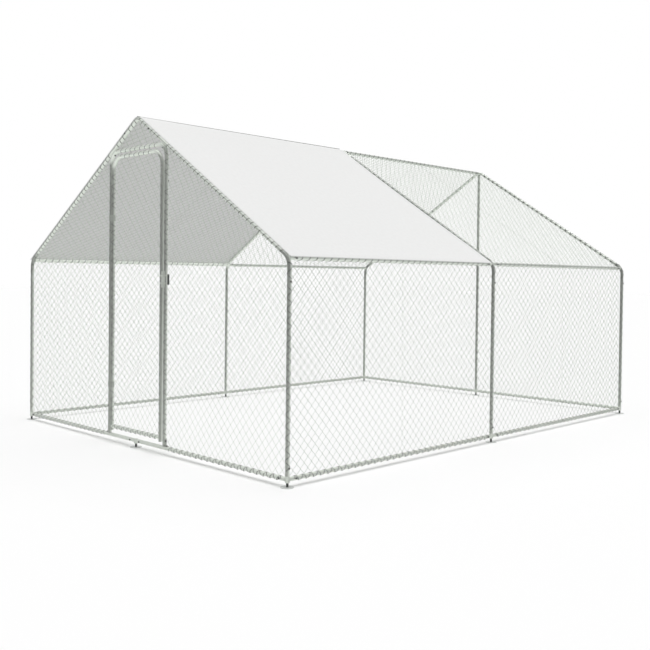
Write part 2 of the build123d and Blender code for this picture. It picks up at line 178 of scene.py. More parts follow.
def put(tree, kind, inputs=None, **settings):
    """A new node with its settings and inputs."""
    node = tree.nodes.new(kind)
    for name, value in settings.items():
        setattr(node, name, value)
    feed(tree, node, inputs or {})
    return node


def reckon(tree, operation, *values):
    """The result of one sum on values or sockets."""
    return put(tree, "ShaderNodeMath", dict(enumerate(values)), operation=operation).outputs[0]


def tint(tree, factor, first, second):
    """A colour between two colours."""
    return put(tree, "ShaderNodeMix", {0: factor, 6: first, 7: second}, data_type="RGBA").outputs[2]


def spread(tree, value, low, high, to_low, to_high):
    """A value carried from one range to another."""
    sockets = {0: value, 1: low, 2: high, 3: to_low, 4: to_high}
    return put(tree, "ShaderNodeMapRange", sockets, interpolation_type="SMOOTHSTEP").outputs[0]


def place_on(tree):
    """A place on the piece itself."""
    return put(tree, "ShaderNodeTexCoord").outputs["Object"]


def apart(tree, vector):
    """The X, Y and Z of a vector."""
    return put(tree, "ShaderNodeSeparateXYZ", {0: vector}).outputs


def cloud_of(tree, place, scale, **settings):
    """Soft random patches, so many to a metre."""
    return put(tree, "ShaderNodeTexNoise", {"Vector": place, "Scale": scale, **settings}).outputs[0]


def towards(tree, facing, side):
    """How far a direction faces a side."""
    return put(tree, "ShaderNodeVectorMath", {0: facing, 1: side}, operation="DOT_PRODUCT").outputs["Value"]


def effect_group(name, inputs, outputs):
    """An empty shader group with its named sockets."""
    group = bpy.data.node_groups.new(name, "ShaderNodeTree")
    for label, value in inputs.items():
        socket = group.interface.new_socket(label, in_out="INPUT", socket_type="NodeSocketFloat")
        socket.default_value = value
    for label in outputs:
        group.interface.new_socket(label, in_out="OUTPUT", socket_type="NodeSocketFloat")
    return group, put(group, "NodeGroupInput").outputs


def make_zinc_spangle():
    """Crystal patches of hot-dipped zinc with a fine frost over them."""
    frost_shade, frost_rise = 0.8, 0.4
    group, given = effect_group("zinc_spangle", {"Spangle": 0.01, "Contrast": 0.5}, ("Shade", "Height"))
    place = place_on(group)
    per_metre = reckon(group, "DIVIDE", 1.0, given["Spangle"])
    crystals = put(group, "ShaderNodeTexVoronoi", {"Vector": place, "Scale": per_metre})
    patch = put(group, "ShaderNodeSeparateColor", {0: crystals.outputs["Color"]}).outputs[0]
    frost = cloud_of(group, place, 700.0, Detail=4.0)
    patch_part = reckon(group, "SUBTRACT", patch, 0.5)
    frost_part = reckon(group, "SUBTRACT", frost, 0.5)
    both = reckon(group, "MULTIPLY_ADD", frost_part, frost_shade, patch_part)
    shade = reckon(group, "MULTIPLY_ADD", both, given["Contrast"], 0.5)
    height = reckon(group, "MULTIPLY_ADD", frost, frost_rise, crystals.outputs["Distance"])
    put(group, "NodeGroupOutput", {"Shade": shade, "Height": height})
    return group


def make_film_and_painted_light():
    """Dull oxide in soft patches, dust near the ground, and painted light: pale undersides and a pale side
    facing the right rear.
    """
    painted_light_side = (0.75, 0.66, 0.0)
    oxide_start, oxide_blend = 0.85, 0.3
    ragged_share = 0.5
    group, given = effect_group(
        "film_and_painted_light",
        {"Patch": 0.15, "Cover": 0.5, "Dust Height": 0.12},
        ("Oxide", "Dust", "Painted Underside Light", "Painted Side Light"),
    )
    place = place_on(group)
    cloud = cloud_of(group, place, reckon(group, "DIVIDE", 1.0, given["Patch"]), Detail=6.0)
    start = reckon(group, "SUBTRACT", oxide_start, given["Cover"])
    oxide = spread(group, cloud, start, reckon(group, "ADD", start, oxide_blend), 0.0, 1.0)
    fall = spread(group, apart(group, place)["Z"], 0.0, given["Dust Height"], 1.0, 0.0)
    speck = cloud_of(group, place, 220.0, Detail=5.0)
    dust = reckon(group, "MULTIPLY", fall, spread(group, speck, 0.35, 0.7, 0.0, 1.0))
    # Painted light: undersides get a mask for a paler tone, as if lit by the white floor, and so does the
    # side facing the right rear, as if lit from there.
    facing = put(group, "ShaderNodeNewGeometry").outputs["Normal"]
    ragged = reckon(group, "MULTIPLY", reckon(group, "SUBTRACT", cloud, 0.5), ragged_share)
    upward = reckon(group, "ADD", ragged, apart(group, facing)["Z"])
    painted_underside_light = spread(group, upward, -0.65, 0.15, 1.0, 0.0)
    facing_painted_light = reckon(group, "ADD", ragged, towards(group, facing, painted_light_side))
    painted_side_light = spread(group, facing_painted_light, 0.1, 0.9, 0.0, 1.0)
    put(group, "NodeGroupOutput", {"Oxide": oxide, "Dust": dust, "Painted Underside Light": painted_underside_light, "Painted Side Light": painted_side_light})
    return group


def make_handling_marks():
    """Small rubs and scratches from handling."""
    scratch_width = 0.012
    group, given = effect_group("handling_marks", {"Amount": 0.4}, ("Rub",))
    place = place_on(group)
    bent = cloud_of(group, place, 60.0, Detail=2.0, Distortion=2.5)
    line = reckon(group, "ABSOLUTE", reckon(group, "SUBTRACT", bent, 0.5))
    thin = spread(group, line, 0.0, scratch_width, 1.0, 0.0)
    where = spread(group, cloud_of(group, place, 9.0), 0.45, 0.6, 0.0, given["Amount"])
    put(group, "NodeGroupOutput", {"Rub": reckon(group, "MULTIPLY", thin, where)})
    return group


def make_cloth_weave():
    """Flat tapes woven over and under each other, with a stitched hem and a seam along the ridge."""
    tape_share, slub_share = 0.15, 0.85
    thread_core, thread_edge = 0.0006, 0.0014
    stitch_turn = 900.0
    seam_edge = 1.2 * cover_seam
    group, given = effect_group(
        "cloth_weave",
        {"Tape": 0.002, "Long": 1.0, "Wide": 1.0, "Hem": 0.026},
        ("Height", "Shade", "Stitch", "Seam"),
    )
    lie = put(group, "ShaderNodeUVMap", uv_map="cover_lie").outputs[0]
    u, v, _ = apart(group, lie)
    turn = reckon(group, "DIVIDE", math.pi, given["Tape"])
    warp = reckon(group, "SINE", reckon(group, "MULTIPLY", u, turn))
    weft = reckon(group, "SINE", reckon(group, "MULTIPLY", v, turn))
    over = reckon(group, "MULTIPLY_ADD", reckon(group, "MULTIPLY", warp, weft), 0.5, 0.5)
    slub = reckon(group, "MULTIPLY", cloud_of(group, lie, 38.0, Detail=5.0), slub_share)
    shade = reckon(group, "MULTIPLY_ADD", over, tape_share, slub)
    from_side = reckon(group, "MINIMUM", u, reckon(group, "SUBTRACT", given["Wide"], u))
    from_end = reckon(group, "MINIMUM", v, reckon(group, "SUBTRACT", given["Long"], v))
    from_edge = reckon(group, "MINIMUM", from_side, from_end)
    off_hem = reckon(group, "ABSOLUTE", reckon(group, "SUBTRACT", from_edge, given["Hem"]))
    thread = spread(group, off_hem, thread_core, thread_edge, 1.0, 0.0)
    way = reckon(group, "MULTIPLY", reckon(group, "ADD", u, v), stitch_turn)
    pricks = spread(group, reckon(group, "SINE", way), -0.3, 0.3, 0.0, 1.0)
    stitch = reckon(group, "MULTIPLY", thread, pricks)
    off_ridge = reckon(group, "ABSOLUTE", reckon(group, "MULTIPLY_ADD", given["Wide"], -0.5, u))
    seam = spread(group, off_ridge, cover_seam, seam_edge, 1.0, 0.0)
    put(group, "NodeGroupOutput", {"Height": over, "Shade": shade, "Stitch": stitch, "Seam": seam})
    return group


zinc_spangle = make_zinc_spangle()
film_and_painted_light = make_film_and_painted_light()
handling_marks = make_handling_marks()
cloth_weave = make_cloth_weave()


def start_finish(name):
    """A new material with its shader."""
    material = bpy.data.materials.new(name)
    material.use_nodes = True
    return material, material.node_tree, material.node_tree.nodes["Principled BSDF"]


def effect(tree, group, **values):
    """What an effect's group puts out in a material, with its own values."""
    return put(tree, "ShaderNodeGroup", values, node_tree=group).outputs


def relief(tree, height, strength, distance, **under):
    """The normal of fine relief on a surface, or on the relief under it."""
    sockets = {"Height": height, "Strength": strength, "Distance": distance, **under}
    return put(tree, "ShaderNodeBump", sockets).outputs[0]


# Brightness of the zinc: bright and dull spangle, then painted light on the underside and on the side facing
# the right rear.
# Each set paints light and shade: the same zinc is made paler or darker by how light falls on each tube.
upright_foot_tones = (0.60, 0.39, 0.68, 0.94)
upright_tones = (0.36, 0.23, 0.44, 0.72)
bend_tones = (0.28, 0.18, 0.40, 0.64)
level_tones = (0.76, 0.62, 0.97, 0.54)
rafter_tones = (0.58, 0.43, 0.98, 0.57)
shaded_tones = (0.76, 0.66, 0.98, 0.95)
mid_rafter_tones = (0.43, 0.31, 0.76, 0.43)
covered_tones = (0.62, 0.49, 0.90, 0.64)
eave_tones = (0.60, 0.47, 0.88, 0.43)
plate_tones = (0.43, 0.27, 0.52, 0.48)
latch_tones = (0.62, 0.50, 0.62, 0.55)
gable_net_tones = (0.75, 0.60, 0.75, 0.75)
wall_net_tones = (0.58, 0.45, 0.58, 0.56)
roof_net_tones = (0.58, 0.46, 0.58, 0.56)
# Painted shade: ties and edge wires are near black, standing for the shade where they lie on the tubes.
tie_tones = (0.04, 0.025, 0.04, 0.05)
edge_tones = (0.05, 0.03, 0.05, 0.05)

# The faint green of the zinc on tubes and on wire, and the ground's dust
tube_cast = (0.972, 1.025, 0.948)
wire_cast = (0.950, 1.034, 0.922)
ground_dust = (0.42, 0.41, 0.38, 1.0)
foot_dust = (0.60, 0.59, 0.56, 1.0)


def zinc_tone(level, cast=tube_cast):
    """The faintly green grey of zinc, at a brightness."""
    red, green, blue = cast
    return (red * level, green * level, blue * level, 1.0)


def zinc_coat(tree, crystal, film, cast, bright, dull, painted_underside_light, painted_side_light):
    """The colour of zinc: spangle and oxide, with painted light: its own tone on undersides and on the side
    facing the right rear.
    """
    oxide_share, oxide_gain = 0.5, 0.03
    metal = tint(tree, crystal["Shade"], zinc_tone(dull, cast), zinc_tone(bright, cast))
    oxide = zinc_tone(0.5 * (bright + dull) + oxide_gain, cast)
    filmed = tint(tree, reckon(tree, "MULTIPLY", film["Oxide"], oxide_share), metal, oxide)
    # Painted light: paler on the side facing the right rear, then on undersides.
    painted_side_lit = tint(tree, film["Painted Side Light"], filmed, zinc_tone(painted_side_light, cast))
    return tint(tree, film["Painted Underside Light"], painted_side_lit, zinc_tone(painted_underside_light, cast))


def zinc_finish(
    name, tones, spangle, contrast, roughness, metallic, marks, leg=None, lean=0.0, cast=tube_cast
):
    """Zinc-coated steel with ground dust and rubs, and painted light and shade in its tones and its leg's
    tones.

    A leg (low level, high level, tones) has its own tones below. Its levels lean: they rise with X."""
    rub_gain, rub_limit = 1.5, 0.9
    dust_share = 0.35
    oxide_dulls, spangle_shines = 0.12, -0.1
    material, tree, shader = start_finish(name)
    crystal = effect(tree, zinc_spangle, Spangle=spangle, Contrast=contrast)
    film = effect(tree, film_and_painted_light)
    rubs = effect(tree, handling_marks, Amount=marks)
    coat = zinc_coat(tree, crystal, film, cast, *tones)
    if leg:
        place = apart(tree, place_on(tree))
        height = reckon(tree, "MULTIPLY_ADD", place["X"], -lean, place["Z"])
        low, high, leg_tones = leg
        on_leg = spread(tree, height, low, high, 1.0, 0.0)
        coat = tint(tree, on_leg, coat, zinc_coat(tree, crystal, film, cast, *leg_tones))
    bare_metal = zinc_tone(min(rub_limit, rub_gain * tones[0]), cast)
    rubbed = tint(tree, rubs["Rub"], coat, bare_metal)
    dusted = tint(tree, reckon(tree, "MULTIPLY", film["Dust"], dust_share), rubbed, ground_dust)
    dulled = reckon(tree, "MULTIPLY_ADD", film["Oxide"], oxide_dulls, roughness)
    frosted = reckon(tree, "MULTIPLY_ADD", crystal["Shade"], spangle_shines, dulled)
    frost = relief(tree, crystal["Height"], strength=0.25, distance=0.0004)
    feed(tree, shader, {"Base Color": dusted, "Roughness": frosted, "Metallic": metallic, "Normal": frost})
    return material


def tube_finish(name, tones, contrast=0.6, metallic=0.6, leg=None, lean=0.0):
    """The zinc of a tube."""
    steel = {"spangle": 0.011, "roughness": 0.46, "marks": 0.35}
    return zinc_finish(name, tones, contrast=contrast, metallic=metallic, leg=leg, lean=lean, **steel)


def plate_finish(name, tones, contrast):
    """The zinc of a strap, a bracket or a plate."""
    steel = {"spangle": 0.007, "roughness": 0.42, "metallic": 0.5, "marks": 0.5}
    return zinc_finish(name, tones, contrast=contrast, **steel)


def wire_finish(name, tones, roughness=0.45, metallic=0.7, cast=wire_cast):
    """The zinc of a wire."""
    steel = {"spangle": 0.004, "contrast": 0.6, "marks": 0.25}
    return zinc_finish(name, tones, roughness=roughness, metallic=metallic, cast=cast, **steel)


def within(tree, value, low, high):
    """One where a value lies between two limits."""
    edge = 0.0006
    above = spread(tree, value, low - edge, low + edge, 0.0, 1.0)
    below = spread(tree, value, high - edge, high + edge, 1.0, 0.0)
    return reckon(tree, "MULTIPLY", above, below)


def dark_finish(name, colour, worn, roughness, wear, plated):
    """Blackened or dipped steel rubbed down to paler metal, with bright zinc plate in an X and Z range."""
    cloud_share, cloud_gain = 0.4, 1.6
    grain_dulls = 0.2
    material, tree, shader = start_finish(name)
    rubs = effect(tree, handling_marks, Amount=wear)
    film = effect(tree, film_and_painted_light, Patch=0.02)
    paler = tuple(cloud_gain * part for part in colour[:3]) + (1.0,)
    cloudy = tint(tree, reckon(tree, "MULTIPLY", film["Oxide"], cloud_share), colour, paler)
    rubbed = tint(tree, rubs["Rub"], cloudy, worn)
    whole = place_on(tree)
    place = apart(tree, whole)
    low_x, high_x, low_z, high_z = plated
    in_width = within(tree, place["X"], low_x, high_x)
    in_height = within(tree, place["Z"], low_z, high_z)
    crystal = effect(tree, zinc_spangle)
    plate = tint(tree, crystal["Shade"], zinc_tone(latch_tones[1]), zinc_tone(latch_tones[0]))
    on_plate = reckon(tree, "MULTIPLY", in_width, in_height)
    plated_steel = tint(tree, on_plate, rubbed, plate)
    grain = cloud_of(tree, whole, 900.0, Detail=3.0)
    dulled = reckon(tree, "MULTIPLY_ADD", grain, grain_dulls, roughness)
    pores = relief(tree, grain, strength=0.2, distance=0.0003)
    feed(tree, shader, {"Base Color": plated_steel, "Roughness": dulled, "Metallic": 0.4, "Normal": pores})
    return material


def foot_finish():
    """A pale zinc disc under a dark stud."""
    disc_dull, disc_bright = (0.60, 0.62, 0.61, 1.0), (0.78, 0.80, 0.79, 1.0)
    stud_dull, stud_bright = (0.035, 0.038, 0.037, 1.0), (0.07, 0.075, 0.072, 1.0)
    disc_top, stud_foot = 0.0028, 0.0036
    dust_share = 0.3
    spangle_shines, roughness = -0.1, 0.55
    material, tree, shader = start_finish("foot_steel")
    crystal = effect(tree, zinc_spangle, Spangle=0.012)
    film = effect(tree, film_and_painted_light)
    on_stud = spread(tree, apart(tree, place_on(tree))["Z"], disc_top, stud_foot, 0.0, 1.0)
    disc = tint(tree, crystal["Shade"], disc_dull, disc_bright)
    dusted = tint(tree, reckon(tree, "MULTIPLY", film["Dust"], dust_share), disc, foot_dust)
    stud = tint(tree, crystal["Shade"], stud_dull, stud_bright)
    steel = tint(tree, on_stud, dusted, stud)
    frosted = reckon(tree, "MULTIPLY_ADD", crystal["Shade"], spangle_shines, roughness)
    frost = relief(tree, crystal["Height"], strength=0.2, distance=0.0004)
    feed(tree, shader, {"Base Color": steel, "Roughness": frosted, "Metallic": 0.5, "Normal": frost})
    return material


def cover_finish(width, length):
    """Pale woven cloth with stitched hems and a grey seam."""
    cloth_dull, cloth_bright = (0.779, 0.781, 0.775, 1.0), (0.853, 0.855, 0.849, 1.0)
    seam_tone = (0.30, 0.31, 0.30, 1.0)
    thread_tone = (0.66, 0.66, 0.67, 1.0)
    tape_dulls, roughness = 0.1, 0.72
    material, tree, shader = start_finish("cover_cloth")
    weave = effect(tree, cloth_weave, Wide=width, Long=length, Hem=cover_hem)
    cloth = tint(tree, weave["Shade"], cloth_dull, cloth_bright)
    seamed = tint(tree, weave["Seam"], cloth, seam_tone)
    sewn = tint(tree, weave["Stitch"], seamed, thread_tone)
    dulled = reckon(tree, "MULTIPLY_ADD", weave["Height"], tape_dulls, roughness)
    tapes = relief(tree, weave["Height"], strength=0.3, distance=0.0003)
    threads = relief(tree, weave["Stitch"], strength=0.6, distance=0.0008, Normal=tapes)
    shader.inputs["Specular IOR Level"].default_value = 0.25
    feed(tree, shader, {"Base Color": sewn, "Roughness": dulled, "Normal": threads})
    return material


# Where a bent tube takes on the tones of its leg: painted light and shade. An upright pales slowly
# towards the ground, as painted shade deepening upward, and the rafters' legs and bends are painted darker.
# In the
# doorway the level leans: the left bends stay as pale as the level tube and the right ones are painted
# darker.
upright_leg = (-0.4, 1.4, upright_foot_tones)
rafter_leg = (eave_level + 0.020, eave_level + 0.070, bend_tones)
shaded_rafter_leg = (eave_level - 0.050, eave_level - 0.010, upright_tones)
mid_rafter_leg = (eave_level + 0.030, eave_level + 0.100, bend_tones)
header_leg = (header_level - 0.0625, header_level - 0.0275, upright_tones)
door_arch_leg = (door_top - 0.068, door_top - 0.023, upright_tones)
doorway_lean = 0.0985

# Painted light and shade: these tube finishes are one zinc in tones set paler or darker by how light falls on
# each tube.
upright_tube = tube_finish("upright_tube", upright_tones, contrast=0.7, metallic=0.3, leg=upright_leg)
level_tube = tube_finish("level_tube", level_tones)
rafter_tube = tube_finish("rafter_tube", rafter_tones, contrast=0.7, metallic=0.5, leg=rafter_leg)
shaded_tube = tube_finish("shaded_tube", shaded_tones, metallic=0.4)
shaded_rafter_tube = tube_finish("shaded_rafter_tube", shaded_tones, metallic=0.4, leg=shaded_rafter_leg)
header_tube = tube_finish("header_tube", level_tones, leg=header_leg, lean=doorway_lean)
door_arch_tube = tube_finish("door_arch_tube", level_tones, leg=door_arch_leg, lean=doorway_lean)
mid_rafter_tube = tube_finish("mid_rafter_tube", mid_rafter_tones, metallic=0.4, leg=mid_rafter_leg)
covered_tube = tube_finish("covered_tube", covered_tones)
eave_tube = tube_finish("eave_tube", eave_tones)
galvanised_plate = plate_finish("galvanised_plate", plate_tones, contrast=0.8)
latch_plate = plate_finish("latch_plate", latch_tones, contrast=0.6)
gable_wire = wire_finish("gable_wire", gable_net_tones)
wall_wire = wire_finish("wall_wire", wall_net_tones)
roof_wire = wire_finish("roof_wire", roof_net_tones)
tie_wire = wire_finish("tie_wire", tie_tones, metallic=0.3, cast=tube_cast)
edge_wire = wire_finish("edge_wire", edge_tones, roughness=0.5, metallic=0.3, cast=tube_cast)
screw_steel = dark_finish(
    "screw_steel",
    colour=(0.030, 0.032, 0.031, 1.0),
    worn=(0.16, 0.165, 0.16, 1.0),
    roughness=0.38,
    wear=0.5,
    plated=(jamb_offset - screw_head, jamb_offset + screw_head, latch_low.z, latch_high.z),
)
latch_steel = dark_finish(
    "latch_steel",
    colour=(0.050, 0.054, 0.052, 1.0),
    worn=(0.24, 0.25, 0.245, 1.0),
    roughness=0.34,
    wear=0.7,
    plated=(latch_low.x - grip_width, grip_edge, latch_low.z, latch_high.z),
)
foot_steel = foot_finish()

# Finish of each CAD node by its slot, then by the end of its name; the last ending that fits counts
slot_finish = {"dark_screws": screw_steel, "dark_latch": latch_steel, "foot_steel": foot_steel}
ending_finish = {
    "hinge_straps": galvanised_plate,
    "jamb_brackets": galvanised_plate,
    "post": upright_tube,
    "jamb": upright_tube,
    "stile": upright_tube,
    "rafter": rafter_tube,
    "mid_left_rafter": shaded_rafter_tube,
    "mid_right_rafter": mid_rafter_tube,
    "ridge_joint": rafter_tube,
    "door_header": header_tube,
    "door_arch": door_arch_tube,
    "front_eave_rail": covered_tube,
    "left_front_eave_rail": shaded_tube,
    "rear_eave_rail": eave_tube,
    "ridge_tube": eave_tube,
    "latch_bracket": latch_plate,
}


def dress_frame():
    """Give every steel node of the frame its finish."""
    for subpart in frame["record"]["subparts"]:
        name = subpart["node"]
        finish = slot_finish.get(subpart["material_slot"], level_tube)
        for ending, steel in ending_finish.items():
            if name.endswith(ending):
                finish = steel
        mesh = frame["nodes"][name].data
        mesh.materials.clear()
        mesh.materials.append(finish)
        mesh.polygons.foreach_set("material_index", [0] * len(mesh.polygons))


def make_piece(name, points, faces, finish, body):
    """A smooth piece that rides on a body of the frame."""
    mesh = bpy.data.meshes.new(name)
    mesh.from_pydata(points, [], faces)
    mesh.polygons.foreach_set("use_smooth", [True] * len(mesh.polygons))
    mesh.materials.append(finish)
    piece = bpy.data.objects.new(name, mesh)
    scene.collection.objects.link(piece)
    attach(piece, body)
    return piece


def cast_no_shade(piece):
    """Leave out a thin piece's shadow and its bounced light, which the photo doesn't show."""
    piece.visible_shadow = False
    piece.visible_diffuse = False


class WireWork:
    """Wires gathered into one piece; each wire is a chain of four-sided rings."""

    def __init__(self):
        self.points = []
        self.faces = []

    def add(self, rings):
        """One wire through its rings, closed at both ends."""
        first = len(self.points)
        for ring in rings:
            self.points.extend(ring)
        last = len(self.points) - 4
        for a in range(first, last, 4):
            b = a + 4
            for side in range(4):
                after = (side + 1) % 4
                self.faces.append((a + side, a + after, b + after, b + side))
        self.faces.append((first + 3, first + 2, first + 1, first))
        self.faces.append((last, last + 1, last + 2, last + 3))

    def make(self, name, body, finish):
        """The finished wires."""
        return make_piece(name, self.points, self.faces, finish, body)


def bend_at(before, corner, after, radius):
    """The centre of a bend at a corner, its start and its end as seen from there, and its angle."""
    back = (before - corner).normalized()
    on = (after - corner).normalized()
    half = back.angle(on) / 2
    centre = corner + (back + on).normalized() * (radius / math.sin(half))
    start = corner + back * (radius / math.tan(half)) - centre
    end = corner + on * (radius / math.tan(half)) - centre
    return centre, start, end, math.pi - 2 * half


def rounded(corners):
    """An outline with its corners rounded; each corner is (x, y, radius)."""
    outline = []
    spots = [Vector((x, y)) for x, y, _ in corners]
    for i, (_, _, radius) in enumerate(corners):
        if radius == 0:
            outline.append(spots[i])
            continue
        centre, start, _, turn = bend_at(spots[i - 1], spots[i], spots[(i + 1) % len(spots)], radius)
        for step in range(outline_steps + 1):
            outline.append(centre + Matrix.Rotation(turn * step / outline_steps, 2) @ start)
    return outline


def kept_span(outline, a, b):
    """The share of a straight wire from a to b that lies inside an outline."""
    low, high = 0.0, 1.0
    for start, end in zip(outline, outline[1:] + outline[:1]):
        edge = end - start
        depth_a = edge.cross(a - start)
        depth_b = edge.cross(b - start)
        if depth_a <= 0 and depth_b <= 0:
            return None
        if depth_a < 0:
            low = max(low, depth_a / (depth_a - depth_b))
        elif depth_b < 0:
            high = min(high, depth_a / (depth_a - depth_b))
    return (low, high) if high > low else None


def weave_net(work, origin, across, upward, outline):
    """Zigzag wires hooked side by side into diamonds, cut off at an outline."""
    outward = across.cross(upward)
    low_u, high_u = min(p.x for p in outline), max(p.x for p in outline)
    low_v, high_v = min(p.y for p in outline), max(p.y for p in outline)
    columns = max(1, round((high_u - low_u) / diamond_width))
    rows = max(1, round((high_v - low_v) / diamond_height))
    half_w = (high_u - low_u) / columns / 2
    half_h = (high_v - low_v) / rows / 2
    side = across * (net_wire_r * math.hypot(half_w, half_h) / half_h)
    front = outward * net_wire_r

    def ring(point, depth):
        spot = origin + across * point.x + upward * point.y + outward * depth
        return [spot + side, spot + front, spot - side, spot - front]

    for k in range(2 * columns):
        bends = []
        for j in range(2 * rows + 1):
            right = (j + k) % 2
            reach = net_wire_r if right else -net_wire_r
            bends.append((Vector((low_u + (k + right) * half_w + reach, low_v + j * half_h)), reach))
        run = []
        for (a, depth_a), (b, depth_b) in zip(bends, bends[1:]):
            span = kept_span(outline, a, b)
            if span:
                low, high = span
                if not run:
                    run.append(ring(a.lerp(b, low), depth_a + (depth_b - depth_a) * low))
                run.append(ring(a.lerp(b, high), depth_a + (depth_b - depth_a) * high))
            if run and (not span or span[1] < 1):
                work.add(run)
                run = []
        if run:
            work.add(run)


def bay_net(work, start, end, edge):
    """Netting over one bay between two level tubes, in two widths joined by a seam."""
    upward = (end - start).normalized()
    low_v, high_v = tube_r, (end - start).length - tube_r
    bay = bays[0][1] - bays[0][0]
    seam = bay / 2
    for low_u, high_u in ((edge, seam + net_overlap), (seam - net_overlap, bay - edge)):
        corners = [(low_u, low_v, 0), (high_u, low_v, 0), (high_u, high_v, 0), (low_u, high_v, 0)]
        weave_net(work, start, along_run, upward, rounded(corners))


def under_rafter(x):
    """The level of the rafter's underside in a gable."""
    return peak_level - tube_r / math.cos(slope) - math.tan(slope) * x


def mirrored(corners):
    """The same outline on the other side of the run's middle."""
    return [(-x, y, radius) for x, y, radius in reversed(corners)]


def hang_net(work, name, finish, body="frame"):
    """The finished netting in place of the CAD's coarse net."""
    netting = work.make(f"{name}_netting", body, finish)
    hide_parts(f"{name}_net")
    cast_no_shade(netting)


def net_walls_and_roof():
    """The netting of both walls and both roof slopes."""
    for name, sign in (("left", -1), ("right", 1)):
        walls, roofs = WireWork(), WireWork()
        for near, _ in bays:
            rail = Vector((sign * half_width, near, rail_level))
            eave = Vector((sign * eave_offset, near, eave_level))
            ridge = Vector((0, near, ridge_level))
            bay_net(walls, rail, eave, tube_r)
            bay_net(roofs, eave, ridge, roof_net_edge)
        hang_net(walls, f"{name}_wall", wall_wire)
        hang_net(roofs, f"{name}_roof", roof_wire)


def net_gables():
    """The netting beside and over the doorway, and on both sides of the rear centre post."""
    foot = rail_level + tube_r
    post_edge = half_width - tube_r
    eave_corner = (post_edge, under_rafter(post_edge), eave_bend - tube_r)
    jamb_edge = jamb_offset + strap_gap
    beside_door = [
        (bracket_edge + bracket_net_room, foot, 0),
        (post_edge, foot, 0),
        eave_corner,
        (jamb_edge, under_rafter(jamb_edge), 0),
        (jamb_edge, bracket_top + bracket_room, 0),
    ]
    header_edge = header_level + tube_r
    header_reach = (under_rafter(0) - header_edge) / math.tan(slope)
    over_door = [
        (-header_reach, header_edge, 0),
        (header_reach, header_edge, 0),
        (0, under_rafter(0), ridge_bend - tube_r),
    ]
    rear_top = ridge_bend * math.sin(slope)
    beside_post = [
        (tube_r, foot, 0),
        (post_edge, foot, 0),
        eave_corner,
        (rear_top, under_rafter(rear_top), 0),
        (tube_r, under_rafter(rear_top), 0),
    ]
    front_gable, rear_gable = WireWork(), WireWork()
    for corners in (mirrored(beside_door), over_door, beside_door):
        weave_net(front_gable, Vector((0, front_y, 0)), across_run, up, rounded(corners))
    for corners in (mirrored(beside_post), beside_post):
        weave_net(rear_gable, Vector((0, rear_y, 0)), across_run, up, rounded(corners))
    hang_net(front_gable, "front_gable", gable_wire)
    hang_net(rear_gable, "rear_gable", gable_wire)


def net_door():
    """The netting in the door's frame."""
    left, right = hinge_stile_x + strap_gap, latch_stile_x - tube_r
    low, high = door_foot + tube_r, door_top - tube_r
    in_door = [
        (left, low, 0),
        (right, low, 0),
        (right, high, door_bend - tube_r),
        (left, high, door_bend - strap_gap),
    ]
    door = WireWork()
    weave_net(door, Vector((0, front_y, 0)), across_run, up, rounded(in_door))
    hang_net(door, "door", gable_wire, body="door")


def bent_line(corners, radius):
    """Points along a bent tube's axis, close together round its bends."""
    marks = [corners[0]]
    for before, corner, after in zip(corners, corners[1:], corners[2:]):
        centre, start, end, _ = bend_at(before, corner, after, radius)
        turn = start.angle(end)
        for step in range(bend_steps + 1):
            marks.append(centre + Matrix.Rotation(turn * step / bend_steps, 3, start.cross(end)) @ start)
    marks.append(corners[-1])
    return marks


def even_points(marks, spacing):
    """Points at even steps along a line."""
    points = []
    left = 0.0
    for start, end in zip(marks, marks[1:]):
        run = (end - start).length
        while left <= run:
            points.append(start.lerp(end, left / run))
            left += spacing
        left -= run
    return points


def wind(work, marks, facing, pitch, wire_r, bare=(), hand=1, phase=0.0, slack=0.0, hop=0.0, meets=0.0):
    """A wire wound round a tube's axis and pressed flat on it, left off near the bare places (point, reach).

    It hangs slack under a level tube, and hops over a wire of the other hand at the angle where they meet."""
    points = even_points(marks, pitch / turn_points)
    run = []
    for i, point in enumerate(points):
        ahead = (points[min(i + 1, len(points) - 1)] - points[max(i - 1, 0)]).normalized()
        out = ahead.cross(facing).normalized()
        angle = hand * 2 * math.pi * i / turn_points + phase
        radial = out * math.cos(angle) + facing * math.sin(angle)
        round_it = (facing * math.cos(angle) - out * math.sin(angle)) * hand
        lift = slack * max(0.0, -radial.z) ** slack_power + hop * abs(math.cos(angle - meets)) ** hop_power
        reach = tube_r + wire_flat * wire_r + lift
        wire_way = (round_it * (2 * math.pi * reach / pitch) + ahead).normalized()
        side = wire_way.cross(radial) * wire_r
        thick = radial * (wire_flat * wire_r)
        spot = point + radial * reach
        if any((point - place).length < distance for place, distance in bare):
            if len(run) > 1:
                work.add(run)
            run = []
        else:
            run.append([spot + side, spot + thick, spot - side, spot - thick])
    if len(run) > 1:
        work.add(run)


def wind_crossed(work, marks, facing, pitch, wire_r, bare=(), slack=0.0, meets=math.pi / 2):
    """A net's edge wrapped round a tube: its wires cross on two sides of it and slant between them."""
    wind(work, marks, facing, pitch, wire_r, bare, slack=slack)
    over = {"hand": -1, "phase": 2 * meets, "hop": wire_hop * wire_r, "meets": meets}
    wind(work, marks, facing, pitch, wire_r, bare, slack=slack, **over)


def between_screws(start, end):
    """The ends and the pitch of a lacing that leaves the screws at a tube's two joints between its turns."""
    way = (end - start).normalized()
    first, last = start + way * rail_screw, end - way * rail_screw
    pitch = (last - first).length / round((last - first).length / rail_pitch)
    return [first - way * pitch / 4, last + way * pitch / 4], pitch


